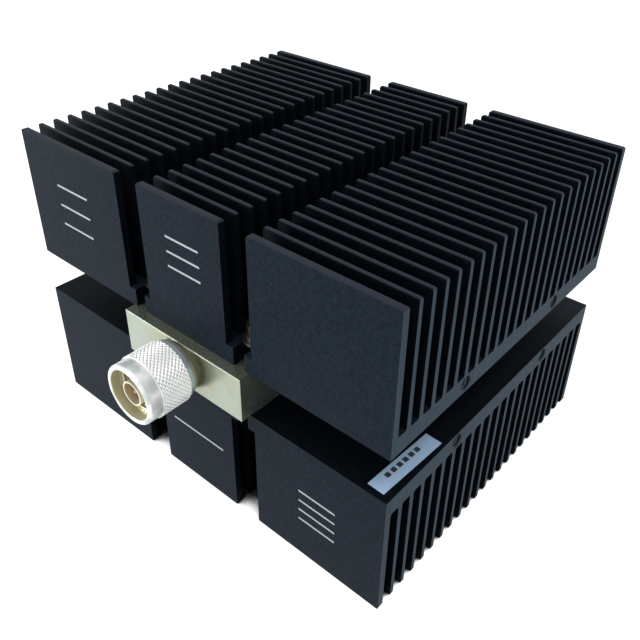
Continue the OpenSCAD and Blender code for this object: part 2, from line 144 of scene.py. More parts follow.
class HeatSinkSettings(bpy.types.PropertyGroup):
    """Anodised finish of both heat sinks."""

    anodised: FloatVectorProperty(
        name="Anodised colour", description="Colour of the dyed oxide on drawn faces",
        subtype="COLOR", size=3, min=0, max=1, default=(0.0064, 0.0104, 0.0158),
    )
    # The sawn ends' own finish, lightened partly by painted light from the side
    sawn_and_side_lit: FloatVectorProperty(
        name="Sawn colour", description="Colour of the oxide on the outer sawn faces",
        subtype="COLOR", size=3, min=0, max=1, default=(0.0255, 0.0395, 0.0545),
    )
    # Colour of the painted highlight along the tops of the fins
    tip_highlight_colour: FloatVectorProperty(
        name="Tip colour", description="Colour of the oxide on the rubbed tips of the fins",
        subtype="COLOR", size=3, min=0, max=1, default=(0.0235, 0.0270, 0.0370),
    )
    bare: FloatVectorProperty(
        name="Bare metal", description="Colour of the metal where holes were tapped later",
        subtype="COLOR", size=3, min=0, max=1, default=(0.060, 0.075, 0.085),
    )
    roughness: FloatProperty(
        name="Roughness", description="Roughness of the drawn faces",
        subtype="FACTOR", min=0, max=1, default=0.46,
    )
    # Height of the painted highlight along the tops of the fins
    tip_highlight_band: FloatProperty(
        name="Tip band", description="Height of the rubbed band at the tips of the fins",
        unit="LENGTH", min=0, default=0.5 * MM,
    )
    hole_radius: FloatProperty(
        name="Hole radius", description="Radius of the tapped side holes",
        unit="LENGTH", min=0, default=2.1 * MM,
    )
    hole_countersink: FloatProperty(
        name="Hole countersink", description="Width of the countersink round a side hole",
        unit="LENGTH", min=0, default=0.4 * MM,
    )
    hole_pitch: FloatProperty(
        name="Hole pitch", description="Distance of the two side holes of one edge",
        unit="LENGTH", min=0, default=53.3 * MM,
    )
    hole_rows: FloatProperty(
        name="Hole rows", description="Distance of the side holes of both heat sinks",
        unit="LENGTH", min=0, default=22.1 * MM,
    )
    hole_shift: FloatProperty(
        name="Hole shift", description="How far the right holes lie behind the middle",
        unit="LENGTH", default=0.3 * MM,
    )
    tapped_length: FloatProperty(
        name="Tapped length", description="Length of thread shown in a side hole",
        unit="LENGTH", min=0, default=9 * MM,
    )
    tapped_pitch: FloatProperty(
        name="Tapped pitch", description="Pitch of the thread in a side hole",
        unit="LENGTH", min=0.1 * MM, default=0.8 * MM,
    )
    tapped_depth: FloatProperty(
        name="Tapped depth", description="Depth of the thread in a side hole",
        unit="LENGTH", min=0, default=0.38 * MM,
    )


class BlockSettings(bpy.types.PropertyGroup):
    """Chromate plating of the block."""

    plating: FloatVectorProperty(
        name="Plating", description="Main colour of the plating",
        subtype="COLOR", size=3, min=0, max=1, default=(0.48, 0.57, 0.51),
    )
    # Colour of the stains, also used for the painted shadow and reflection of the nut
    stain_and_shade: FloatVectorProperty(
        name="Stain", description="Colour of the darker patches",
        subtype="COLOR", size=3, min=0, max=1, default=(0.43, 0.39, 0.18),
    )
    roughness: FloatProperty(
        name="Roughness", description="Roughness of the milled faces",
        subtype="FACTOR", min=0, max=1, default=0.24,
    )


class NutSettings(bpy.types.PropertyGroup):
    """Shape and plating of the coupling nut. Distances run from its rear to its mouth."""

    columns: IntProperty(
        name="Columns", description="Mesh columns round the nut, six for each knurl start",
        min=48, default=240,
    )
    knurl_starts: IntProperty(
        name="Knurl starts", description="Grooves of the knurl in each direction",
        min=8, default=40,
    )
    knurl_pitch: FloatProperty(
        name="Knurl pitch", description="Length of one diamond along the axis",
        unit="LENGTH", min=0.1 * MM, default=1.37 * MM,
    )
    knurl_depth: FloatProperty(
        name="Knurl depth", description="Depth of the knurl's grooves",
        unit="LENGTH", min=0, default=0.25 * MM,
    )
    knurl_start: FloatProperty(
        name="Knurl start", description="Distance of the knurl from the nut's rear",
        unit="LENGTH", min=0, default=2.6 * MM,
    )
    knurl_length: FloatProperty(
        name="Knurl length", description="Length of the knurled grip",
        unit="LENGTH", min=0, default=10.3 * MM,
    )
    knurl_radius: FloatProperty(
        name="Knurl radius", description="Radius over the knurl's ridges",
        unit="LENGTH", min=0, default=10.4 * MM,
    )
    shoulder: FloatProperty(
        name="Shoulder", description="Radius of the round shoulder in front of the knurl",
        unit="LENGTH", min=0, default=0.3 * MM,
    )
    collar_radius: FloatProperty(
        name="Collar radius", description="Radius of the smooth collar",
        unit="LENGTH", min=0, default=9.95 * MM,
    )
    mouth_round: FloatProperty(
        name="Mouth round", description="Rounding round the outside of the mouth",
        unit="LENGTH", min=0, default=0.9 * MM,
    )
    band_radius: FloatProperty(
        name="Band radius", description="Radius of the smooth band behind the knurl",
        unit="LENGTH", min=0, default=9.8 * MM,
    )
    rim_radius: FloatProperty(
        name="Rim radius", description="Radius of the rear rim",
        unit="LENGTH", min=0, default=9.3 * MM,
    )
    rim_length: FloatProperty(
        name="Rim length", description="Length of the rear rim",
        unit="LENGTH", min=0, default=1.2 * MM,
    )
    mouth_radius: FloatProperty(
        name="Mouth radius", description="Inner radius in front of and behind the thread",
        unit="LENGTH", min=0, default=8.3 * MM,
    )
    mouth_length: FloatProperty(
        name="Mouth length", description="Length of the mouth in front of the thread",
        unit="LENGTH", min=0, default=3.4 * MM,
    )
    thread_length: FloatProperty(
        name="Thread length", description="Length of the inner thread",
        unit="LENGTH", min=0, default=6.8 * MM,
    )
    thread_pitch: FloatProperty(
        name="Thread pitch", description="Pitch of the inner thread",
        unit="LENGTH", min=0.1 * MM, default=1.058 * MM,
    )
    thread_crest: FloatProperty(
        name="Thread crest", description="Inner radius of the thread",
        unit="LENGTH", min=0, default=7.35 * MM,
    )
    thread_root: FloatProperty(
        name="Thread root", description="Outer radius of the thread",
        unit="LENGTH", min=0, default=7.94 * MM,
    )
    seat: FloatProperty(
        name="Seat", description="Distance of the inner seat from the nut's rear",
        unit="LENGTH", min=0, default=6.3 * MM,
    )
    bore_radius: FloatProperty(
        name="Bore radius", description="Radius of the bore that turns on the shell",
        unit="LENGTH", min=0, default=6.38 * MM,
    )
    groove_radius: FloatProperty(
        name="Groove radius", description="Radius of the groove for the retaining ring",
        unit="LENGTH", min=0, default=7.0 * MM,
    )
    groove_width: FloatProperty(
        name="Groove width", description="Width of the groove for the retaining ring",
        unit="LENGTH", min=0, default=1.3 * MM,
    )
    silver: FloatVectorProperty(
        name="Silver", description="Colour of the plating",
        subtype="COLOR", size=3, min=0, max=1, default=(0.97, 0.98, 0.97),
    )
    tarnish: FloatVectorProperty(
        name="Tarnish", description="Colour of the plating inside the nut",
        subtype="COLOR", size=3, min=0, max=1, default=(0.54, 0.50, 0.28),
    )


class PrintSettings(bpy.types.PropertyGroup):
    """Plain bars on the front faces and plain blocks on the label."""

    paint: FloatVectorProperty(
        name="Paint", description="Colour of the bars on the front faces",
        subtype="COLOR", size=3, min=0, max=1, default=(0.42, 0.46, 0.50),
    )
    ink: FloatVectorProperty(
        name="Ink", description="Colour of the blocks on the label",
        subtype="COLOR", size=3, min=0, max=1, default=(0.020, 0.024, 0.034),
    )
    bar_height: FloatProperty(
        name="Bar height", description="Height of one bar",
        unit="LENGTH", min=0, default=0.7 * MM,
    )
    thickness: FloatProperty(
        name="Thickness", description="Thickness of paint and ink",
        unit="LENGTH", min=0, default=0.02 * MM,
    )
    blocks: IntProperty(
        name="Blocks", description="Number of blocks on the label", min=1, default=6,
    )
    block_length: FloatProperty(
        name="Block length", description="Length of one block along the label",
        unit="LENGTH", min=0, default=1.7 * MM,
    )
    block_width: FloatProperty(
        name="Block width", description="Width of one block across the label",
        unit="LENGTH", min=0, default=1.6 * MM,
    )
    block_pitch: FloatProperty(
        name="Block pitch", description="Distance from one block to the next",
        unit="LENGTH", min=0, default=2.6 * MM,
    )
    slant: FloatProperty(
        name="Slant", description="Slant of the label",
        subtype="ANGLE", default=math.radians(2.7),
    )


class StageSettings(bpy.types.PropertyGroup):
    """Camera, lamps and floor."""

    camera_place: FloatVectorProperty(
        name="Camera place", description="Where the camera stands",
        subtype="XYZ", unit="LENGTH", size=3, default=(0.14856, -0.17346, 0.20228),
    )
    camera_azimuth: FloatProperty(
        name="Azimuth", description="Turn of the camera round the load, from its front",
        subtype="ANGLE", default=math.radians(39.494),
    )
    camera_elevation: FloatProperty(
        name="Elevation", description="How far the camera looks down",
        subtype="ANGLE", default=math.radians(33.075),
    )
    camera_roll: FloatProperty(
        name="Roll", description="Turn of the picture about the line of sight",
        subtype="ANGLE", default=math.radians(1.418),
    )
    lens: FloatProperty(
        name="Lens", description="Focal length in mm on a sensor 36 mm wide",
        min=1, default=42.404,
    )
    shift: FloatVectorProperty(
        name="Shift", description="Shift of the picture from the line of sight",
        size=2, default=(-0.01874, -0.06393),
    )
    floor_colour: FloatVectorProperty(
        name="Floor colour", description="Colour of the floor",
        subtype="COLOR", size=3, min=0, max=1, default=(0.7, 0.7, 0.7),
    )
    ambient: FloatProperty(
        name="Ambient", description="Strength of the light from all round",
        min=0, default=0.89,
    )
    front: FloatProperty(
        name="Front", description="Power of the lamp at the front left, in watts",
        min=0, default=5.7,
    )
    top: FloatProperty(
        name="Top", description="Power of the lamp above the load, in watts",
        min=0, default=1.7,
    )
    rear: FloatProperty(
        name="Rear", description="Power of the lamp behind the load, in watts",
        min=0, default=2.5,
    )


# Shader nodes


class Value:
    """A number that varies over a surface. Arithmetic on it adds Math nodes to its shader."""

    def __init__(self, shader, socket):
        self.shader = shader
        self.socket = socket

    def _math(self, operation, *terms):
        node = self.shader.node("Math", {"operation": operation}, dict(enumerate(terms)))
        return Value(self.shader, node.outputs[0])

    def __add__(self, other):
        return self._math("ADD", self, other)

    def __sub__(self, other):
        return self._math("SUBTRACT", self, other)

    def __rsub__(self, other):
        return self._math("SUBTRACT", other, self)

    def __mul__(self, other):
        return self._math("MULTIPLY", self, other)

    def __pow__(self, other):
        return self._math("POWER", self, other)

    def __abs__(self):
        return self._math("ABSOLUTE", self)

    __radd__ = __add__
    __rmul__ = __mul__

    def greater(self, other):
        """The greater of this value and another."""
        return self._math("MAXIMUM", self, other)

    def fade(self, start, end):
        """0 at start and 1 at end, with a smooth step between them and held beyond."""
        node = self.shader.node("MapRange", {"interpolation_type": "SMOOTHSTEP"}, {
            "Value": self, "From Min": start, "From Max": end})
        return Value(self.shader, node.outputs["Result"])


class Shader:
    """The node tree of a material or of the world."""

    def __init__(self, owner):
        owner.use_nodes = True
        self.tree = owner.node_tree
        self.tree.nodes.clear()

    def node(self, kind, settings=None, sockets=None):
        """Adds a node: its type, then its settings, then its sockets' values or links."""
        made = self.tree.nodes.new("ShaderNode" + kind)
        for name, value in (settings or {}).items():
            setattr(made, name, value)
        for key, value in (sockets or {}).items():
            if isinstance(value, Value):
                self.tree.links.new(value.socket, made.inputs[key])
            elif isinstance(value, bpy.types.NodeSocket):
                self.tree.links.new(value, made.inputs[key])
            elif made.inputs[key].type == "RGBA":
                made.inputs[key].default_value = (*value, 1)
            else:
                made.inputs[key].default_value = value
        return made

    def seen_directly(self):
        """Two values: 1 for rays from the camera, and 1 for reflected or refracted rays."""
        ray = self.node("LightPath")
        camera, glossy, through = [
            Value(self, ray.outputs[f"Is {kind} Ray"])
            for kind in ("Camera", "Glossy", "Transmission")]
        return camera, glossy.greater(through)


class Finish(Shader):
    """The node tree of one material, with positions in millimetres."""

    def __init__(self, name):
        self.material = bpy.data.materials.new(name)
        super().__init__(self.material)
        self.coordinates = self.node("TexCoord")
        self.place = self.node("VectorMath", {"operation": "SCALE"}, {
            "Vector": self.coordinates.outputs["Object"], "Scale": 1 / MM}).outputs["Vector"]

    def axes(self, vector):
        """The three parts of a vector as values."""
        parts = self.node("SeparateXYZ", sockets={0: vector})
        return [Value(self, part) for part in parts.outputs]

    def noise(self, size, stretch=(1, 1, 1), detail=2.0, roughness=0.5):
        """Soft noise between 0 and 1, whose spots are about size millimetres wide."""
        scaled = self.node("VectorMath", {"operation": "DIVIDE"}, {
            0: self.place, 1: tuple(size * part for part in stretch)})
        made = self.node("TexNoise", {"noise_dimensions": "3D"}, {
            "Vector": scaled.outputs["Vector"], "Scale": 1.0, "Detail": detail,
            "Roughness": roughness})
        return Value(self, made.outputs[0])

    def mix(self, factor, first, second):
        """A colour between two colours. The node's colour sockets go by number."""
        made = self.node("Mix", {"data_type": "RGBA"}, {0: factor, 6: first, 7: second})
        return made.outputs[2]

    def bump(self, height):
        """A normal for a height in millimetres."""
        made = self.node("Bump", sockets={"Height": height, "Distance": MM})
        return made.outputs["Normal"]

    def surface(self, colour, roughness, **sockets):
        """Ends the tree in a Principled surface. Other sockets are named in small letters."""
        names = {name.replace("_", " ").title().replace("Ior", "IOR"): value
                 for name, value in sockets.items()}
        shader = self.node("BsdfPrincipled", sockets={
            "Base Color": colour, "Roughness": roughness, **names})
        self.node("OutputMaterial", sockets={"Surface": shader.outputs[0]})
        return self.material


def dress(names, material):
    """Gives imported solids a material, in place of the plain one that they came with."""
    for name in names:
        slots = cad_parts[name].data.materials
        slots.clear()
        slots.append(material)


def new_piece(name, points, faces, material, body, slot, replaced=()):
    """A mesh object from points in millimetres that rides on a body of the load."""
    mesh = bpy.data.meshes.new(name)
    mesh.from_pydata([Vector(point) * MM for point in points], [], faces)
    mesh.polygons.foreach_set("use_smooth", [True] * len(mesh.polygons))
    mesh.set_sharp_from_angle(angle=SHARP_ANGLE)
    mesh.materials.append(material)
    piece = bpy.data.objects.new(name, mesh)
    bpy.context.scene.collection.objects.link(piece)
    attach(piece, body)
    if replaced:
        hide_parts(*replaced)
    return piece


def in_mm(settings):
    """The lengths among the settings by name, in millimetres."""
    return SimpleNamespace(**{
        name: getattr(settings, name) / MM for name, field in settings.bl_rna.properties.items()
        if field.unit == "LENGTH" and not field.is_array})


def tinted(colour, red, green, blue):
    """A colour whose three parts are multiplied by three factors."""
    return colour[0] * red, colour[1] * green, colour[2] * blue


def connector_axis():
    """Height of the connector's axis and rear end of the coupling nut, in millimetres."""
    low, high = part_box("coupling_nut")
    return (low.z + high.z) / 2 / MM, high.y / MM


def from_axis(finish):
    """How far a point lies from the connector's axis, and how far in front of the nut's rear."""
    axis_z, rear_y = connector_axis()
    x, y, z = finish.axes(finish.place)
    return (x ** 2 + (z - axis_z) ** 2) ** 0.5, rear_y - y


# Finishes


def anodised_finish(settings):
    """Black anodised extrusion: drawn faces with painted shade between the fins, sawn ends
    lighter partly from painted side light, a painted highlight on the tips, bare tapped holes.
    """
    finish = Finish("black_anodised_aluminium")
    size = in_mm(settings)
    x, y, z = finish.axes(finish.place)
    low, high = cad_box
    middle_z = (low.z + high.z) / 2 / MM
    half_z = (high.z - low.z) / 2 / MM
    half_x = (high.x - low.x) / 2 / MM
    sink_low, sink_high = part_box("upper_sink")
    half_y = sink_high.y / MM
    half_gap = sink_low.z / MM - middle_z
    from_middle = abs(z - middle_z)

    # 1 on faces that look along X, Y or Z, either way
    normal = finish.axes(finish.coordinates.outputs["Normal"])
    faces_x, faces_y, faces_z = [abs(part).fade(0.6, 0.8) for part in normal]
    outermost = abs(x).fade(half_x - 4, half_x - 2)
    # Sawn outer ends: their lighter colour is partly the sawn finish and partly painted side
    # light
    sawn_and_side_lit = faces_x * outermost
    # Painted highlight: a band on the faces at the top and bottom ends of the fins
    tip_highlight = (from_middle.fade(half_z - 2 * size.tip_highlight_band, half_z - size.tip_highlight_band)
           * abs(normal[2]).fade(0.3, 0.7))

    # Painted shade: faces between the fins, in the channels and at the gap beside the block are
    # darkened; on the mating faces it fades out towards their rear edge, which is left painted
    # lighter
    channel_wall_shade = faces_x * (1 - outermost)
    fin_side_shade = faces_y * abs(y).fade(half_y - 0.2, half_y - 0.6)
    mating_face_shade = (faces_z * from_middle.fade(half_gap + 1, half_gap + 0.5)
                    * y.fade(half_y + 4, half_y - 26))
    painted_shade = channel_wall_shade.greater(fin_side_shade).greater(mating_face_shade)

    hole_y = abs(y) - size.hole_pitch / 2
    hole_z = from_middle - size.hole_rows / 2
    from_hole = (hole_y ** 2 + hole_z ** 2) ** 0.5
    in_hole = (abs(x).fade(half_x, half_x - 0.1)
               * abs(x).fade(half_x - HOLE_DEPTH - 1, half_x - HOLE_DEPTH))
    bare = from_hole.fade(size.hole_radius + 0.1, size.hole_radius + 0.02) * in_hole

    grain = finish.noise(0.28, detail=3)
    mottle = finish.noise(1.2, detail=2)
    hue = finish.noise(1.9, detail=1)
    drawn_lines = finish.noise(0.16, stretch=(120, 1, 1), detail=2)
    saw_lines = finish.noise(0.22, stretch=(1, 1, 60), detail=2)
    speck = finish.noise(0.45, detail=1).fade(0.70, 0.76)

    dark = finish.mix(hue.fade(0.35, 0.65), tinted(settings.anodised, 1.35, 0.85, 1.08),
                      tinted(settings.anodised, 0.7, 1.1, 0.9))
    dark = finish.mix((mottle * 0.6 + grain * 0.4).fade(0.35, 0.65) * 0.8, dark,
                      tinted(settings.anodised, 1.9, 1.9, 1.9))
    # Painted shade: the faces between the fins, in the channels and at the gap turn near black
    dark = finish.mix(painted_shade * 0.75, dark, tinted(settings.anodised, 0.1, 0.1, 0.1))
    # Colour of the sawn ends, partly the sawn finish and partly painted light from the side
    pale = finish.mix(hue.fade(0.35, 0.65), tinted(settings.sawn_and_side_lit, 1.15, 0.92, 1.05),
                      tinted(settings.sawn_and_side_lit, 0.8, 1.1, 0.95))
    pale = finish.mix(saw_lines.fade(0.3, 0.7) * 0.6 + grain * 0.4, pale,
                      tinted(settings.sawn_and_side_lit, 1.7, 1.7, 1.7))
    colour = finish.mix(sawn_and_side_lit, dark, pale)
    # Painted highlight on the tips of the fins
    colour = finish.mix(tip_highlight * (0.6 + 0.4 * grain), colour, settings.tip_highlight_colour)
    colour = finish.mix(speck * 0.25, colour, OXIDE_SPECK)
    colour = finish.mix(bare, colour, settings.bare)

    rough = settings.roughness + (grain - 0.5) * 0.16 + sawn_and_side_lit * 0.06
    # Relief in millimetres
    height = (drawn_lines * (1 - sawn_and_side_lit) * 0.004 + saw_lines * sawn_and_side_lit * 0.012
              + grain * 0.012 + mottle * 0.010)
    return finish.surface(colour, rough - bare * 0.18, metallic=bare,
                          normal=finish.bump(height), specular_ior_level=0.04,
                          specular_tint=(0.60, 0.90, 1.0))


def plated_finish(settings):
    """Chromate plated block: pale green silver with olive patches, a painted shadow and
    reflection of the nut round the connector, and milling lines.
    """
    finish = Finish("chromate_plated_aluminium")
    cloud = finish.noise(9.0, detail=2)
    fine = finish.noise(0.5, detail=3)
    milling = finish.noise(0.25, stretch=(70, 1, 1), detail=2)
    radius, distance = from_axis(finish)
    # Painted shadow and reflection of the nut: the plating is darkened to olive round the
    # connector, up to 20 mm from its axis
    painted_nut_shadow = radius.fade(20, 10) * distance.fade(-12, -2)
    patches_and_painted_light = (cloud.fade(0.35, 0.75) * 0.25 + painted_nut_shadow * 0.30
               + milling * 0.14 + fine * 0.10)
    colour = finish.mix(patches_and_painted_light, settings.plating, settings.stain_and_shade)
    height = milling * 0.003 + fine * 0.0008
    rough = settings.roughness + (fine - 0.5) * 0.04 + patches_and_painted_light * 0.06
    return finish.surface(colour, rough, metallic=0.9, normal=finish.bump(height))


def nut_finish(settings):
    """Silver plating of the nut: bright outside with painted blue-grey reflections, tarnished
    inside and in the knurl's pits.
    """
    finish = Finish("silver_plated_nut")
    radius, distance = from_axis(finish)
    size = in_mm(settings)
    start = size.knurl_start
    end = start + size.knurl_length
    peak = size.knurl_radius
    pit = peak - size.knurl_depth

    # Parts of the nut, by their distances from its rear and from its axis
    in_knurl = distance.fade(start - 0.1, start + 0.1) * distance.fade(end + 0.1, end - 0.2)
    pits = radius.fade(peak - 0.06, pit + 0.02) * in_knurl
    inner = radius.fade(size.mouth_radius + 0.25, size.mouth_radius)
    shoulder = distance.fade(end + 0.1, end + 0.2) * distance.fade(end + 0.5, end + 0.4)
    behind = distance.fade(start + 0.1, start - 0.1)
    rim = distance.fade(size.rim_length + 0.1, size.rim_length - 0.1)

    cloud = finish.noise(5.0, detail=1)
    fine = finish.noise(0.35, detail=3)
    turned = finish.noise(0.12, stretch=(60, 1, 60), detail=1)

    # Painted reflection: soft blue-grey patches, mostly on the collar and little on the knurl
    patches_and_painted_light = cloud.fade(0.44, 0.66) * (0.8 - 0.7 * in_knurl)
    colour = finish.mix(patches_and_painted_light, settings.silver, REFLECTION_SILVER)
    colour = finish.mix(pits * 0.18, colour, PIT_SILVER)
    colour = finish.mix(shoulder * 0.5, colour, SHOULDER_SILVER)
    colour = finish.mix(behind * 0.8, colour, BAND_SILVER)
    colour = finish.mix(rim * 0.8, colour, RIM_BROWN)
    colour = finish.mix(inner * (0.75 + 0.25 * cloud), colour, settings.tarnish)
    rough = 0.30 + cloud * 0.06 + pits * 0.1 + inner * 0.10 + (fine - 0.5) * 0.06
    height = turned * (1 - in_knurl) * 0.004 + fine * 0.004
    return finish.surface(colour, rough, metallic=0.6, normal=finish.bump(height))


def shell_finish():
    """Plating of the connector's outer conductor: cream rim, tan bore and body, painted shade
    behind the nut.
    """
    finish = Finish("silver_plated_shell")
    radius, distance = from_axis(finish)
    bore = radius.fade(SHELL_BORE + 0.12, SHELL_BORE)
    fine = finish.noise(0.3, detail=3)
    cloud = finish.noise(2.5, detail=2)
    turned = finish.noise(0.1, stretch=(60, 1, 60), detail=1)
    colour = finish.mix(cloud * 0.5, SHELL_CREAM, SHELL_CLOUD)
    colour = finish.mix(bore * 0.9, colour, SHELL_TAN)
    # Painted shade on the shell behind the nut's rear, between the nut and the block
    colour = finish.mix(distance.fade(0.3, -0.2) * 0.9, colour, SHELL_SHADE)
    rough = 0.32 + cloud * 0.12 + fine * 0.08
    return finish.surface(colour, rough, metallic=0.7,
                          normal=finish.bump(turned * 0.005 + fine * 0.003))


def worn_metal_finish(name, colour, shade, roughness, size=0.8):
    """Plain metal with soft patches, fine grain and a little relief."""
    finish = Finish(name)
    cloud = finish.noise(size * 3, detail=3, roughness=0.6)
    fine = finish.noise(size * 0.25, detail=3)
    mixed = finish.mix(cloud.fade(0.3, 0.7) * 0.7 + fine * 0.3, colour, shade)
    return finish.surface(mixed, roughness + (cloud - 0.5) * 0.16 + (fine - 0.5) * 0.12,
                          metallic=1.0, normal=finish.bump(fine * size * 0.012))


def matt_finish(name, colour, shade, roughness, size=0.4, relief=0.01, **sockets):
    """Plastic, rubber, ceramic or ink: soft variation of colour and a fine grain."""
    finish = Finish(name)
    cloud = finish.noise(size * 6, detail=2)
    fine = finish.noise(size, detail=3)
    mixed = finish.mix(cloud * 0.6 + fine * 0.4, colour, shade)
    return finish.surface(mixed, roughness + (fine - 0.5) * 0.14,
                          normal=finish.bump(fine * relief), **sockets)


# Shapes


def revolved(rows, columns, crossed):
    """Mesh of a closed outline turned about the connector's axis.

    A row is (distance, radii), with one radius or a function of the angle and distance. Rows
    named in crossed begin a band whose squares are split into four about their middle.
    """
    axis_z, rear_y = connector_axis()

    def point(distance, radius, angle):
        if callable(radius):
            radius = radius(angle, distance)
        return (radius * math.cos(angle), rear_y - distance, axis_z + radius * math.sin(angle))

    points, faces = [], []
    for distance, radius in rows:
        for column in range(columns):
            points.append(point(distance, radius, FULL_TURN * column / columns))
    for row, (distance, radius) in enumerate(rows):
        after = (row + 1) % len(rows)
        for column in range(columns):
            beside = (column + 1) % columns
            square = (row * columns + column, row * columns + beside,
                      after * columns + beside, after * columns + column)
            if row not in crossed:
                faces.append(square)
                continue
            middle = len(points)
            points.append(point((distance + rows[after][0]) / 2, radius,
                                FULL_TURN * (column + 0.5) / columns))
            for side in range(4):
                faces.append((square[side], square[(side + 1) % 4], middle))
    return points, faces


def arc(distance, radius, size, steps):
    """Rows of a quarter round from the side towards the front, about a centre."""
    return [(distance + size * math.sin(math.pi / 2 * step / steps),
             radius + size * math.cos(math.pi / 2 * step / steps))
            for step in range(1, steps + 1)]


def ridge(turn):
    """Height of a flat-topped thread ridge from 0 to 1, at a share of one turn."""
    return min(1.0, max(0.0, 1.5 * (1 - abs(2 * turn - 1)) - 0.25))


def nut_rows(settings):
    """Closed outline of the coupling nut, and the rows at which crossed bands begin."""
    size = in_mm(settings)
    low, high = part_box("coupling_nut")
    length = (high.y - low.y) / MM
    starts = settings.knurl_starts
    knurl_end = size.knurl_start + size.knurl_length
    thread_front = length - size.mouth_length
    thread_rear = thread_front - size.thread_length
    # Small lengths in millimetres, slopes, and mesh rows
    bevel = 0.15
    mouth_bevel = 0.3
    knurl_chamfer = 0.35
    knurl_run_out = 0.2
    flank_slope = 3.0
    thread_run_out_slope = 1.6
    rows_a_diamond = 6
    rows_a_thread_turn = 12

    def knurl(angle, distance):
        """Pyramids between two sets of crossing grooves, faded at both ends."""
        turn = starts * angle / FULL_TURN
        along = (distance - size.knurl_start) / size.knurl_pitch
        from_groove = min(abs((turn + sign * along + 0.5) % 1 - 0.5) for sign in (-1, 1))
        height = min(1.0, flank_slope * from_groove)
        depth = size.knurl_depth * min(1.0, max(0.0, (knurl_end - distance) / knurl_run_out))
        chamfer = size.knurl_radius - max(0.0, knurl_chamfer - (distance - size.knurl_start))
        return min(chamfer, size.knurl_radius - depth * (1 - height))

    def thread(angle, distance):
        """Flat-topped helical ridges that run out at both ends."""
        turn = (distance / size.thread_pitch + angle / FULL_TURN) % 1
        from_end = min(distance - thread_rear, thread_front - distance)
        run_out = size.mouth_radius - from_end * thread_run_out_slope
        wall = size.thread_root - (size.thread_root - size.thread_crest) * ridge(turn)
        return max(wall, min(run_out, size.thread_root))

    rows = [
        (0, size.bore_radius), (0, size.rim_radius - bevel), (bevel, size.rim_radius),
        (size.rim_length, size.rim_radius), (size.rim_length, size.band_radius - bevel),
        (size.rim_length + bevel, size.band_radius), (size.knurl_start, size.band_radius),
    ]
    crossed = set()
    steps = round(size.knurl_length / (size.knurl_pitch / rows_a_diamond))
    for step in range(steps + 1):
        if step < steps:
            crossed.add(len(rows))
        rows.append((size.knurl_start + size.knurl_length * step / steps, knurl))
    rows += arc(knurl_end, size.knurl_radius - size.shoulder, size.shoulder, 4)
    rows.append((knurl_end + size.shoulder, size.collar_radius))
    rows.append((length - size.mouth_round, size.collar_radius))
    rows += arc(length - size.mouth_round, size.collar_radius - size.mouth_round,
                size.mouth_round, 8)
    rows += [(length, size.mouth_radius + mouth_bevel),
             (length - mouth_bevel, size.mouth_radius), (thread_front, size.mouth_radius)]
    steps = round(size.thread_length / (size.thread_pitch / rows_a_thread_turn))
    rows += [(thread_front - size.thread_length * step / steps, thread)
             for step in range(steps + 1)]
    groove = size.seat / 2
    half = size.groove_width / 2
    rows += [(thread_rear, size.mouth_radius), (size.seat, size.mouth_radius),
             (size.seat, size.bore_radius), (groove + half, size.bore_radius),
             (groove + half, size.groove_radius), (groove - half, size.groove_radius),
             (groove - half, size.bore_radius)]
    return rows, crossed


def thread_sleeve(size, x, y, z):
    """Helical ridges on the wall of one side hole, as a thin closed sleeve."""
    outward = math.copysign(1, x)
    columns = 40
    steps_a_turn = 8
    run_out_steps = 6
    steps = round(size.tapped_length / size.tapped_pitch * steps_a_turn)
    start = 2 * size.hole_countersink
    # The sleeve's two skins at the thread's root, just inside the hole's wall
    inner, outer = size.hole_radius - 0.02, size.hole_radius - 0.01
    points, faces = [], []
    for step in range(steps + 1):
        along = start + size.tapped_length * step / steps
        for column in range(columns):
            angle = FULL_TURN * column / columns
            turn = (along / size.tapped_pitch - outward * angle / FULL_TURN) % 1
            height = ridge(turn)
            height *= min(1.0, step / run_out_steps, (steps - step) / run_out_steps)
            for radius in (inner - size.tapped_depth * height, outer):
                points.append((x - outward * along, y + radius * math.cos(angle),
                               z + radius * math.sin(angle)))
    ring = 2 * columns
    for column in range(columns):
        beside = (column + 1) % columns
        for step in range(steps):
            for skin in (0, 1):
                square = [step * ring + 2 * column + skin, step * ring + 2 * beside + skin,
                          (step + 1) * ring + 2 * beside + skin,
                          (step + 1) * ring + 2 * column + skin]
                faces.append(square if (skin == 0) == (outward > 0) else square[::-1])
        for step, flip in ((0, False), (steps, True)):
            square = [step * ring + 2 * column, step * ring + 2 * column + 1,
                      step * ring + 2 * beside + 1, step * ring + 2 * beside]
            faces.append(square if flip != (outward > 0) else square[::-1])
    return points, faces


def joined(parts):
    """Points and faces of several meshes as one."""
    points, faces = [], []
    for part_points, part_faces in parts:
        faces += [tuple(index + len(points) for index in face) for face in part_faces]
        points += part_points
    return points, faces


def slab(low, high):
    """Points and faces of a thin printed mark between two corners."""
    points = [(x, y, z) for x in (low[0], high[0]) for y in (low[1], high[1])
              for z in (low[2], high[2])]
    faces = [(0, 1, 3, 2), (4, 6, 7, 5), (0, 4, 5, 1),
             (2, 3, 7, 6), (0, 2, 6, 4), (1, 5, 7, 3)]
    return points, faces


# Operators


class COAX_LOAD_OT_heat_sinks(bpy.types.Operator):
    """Finishes both heat sinks in black anodising"""

    bl_idname = "coax_load.heat_sinks"
    bl_label = "Heat sinks"

    def execute(self, context):
        dress(HEAT_SINKS, anodised_finish(context.scene.load_sinks))
        return {"FINISHED"}


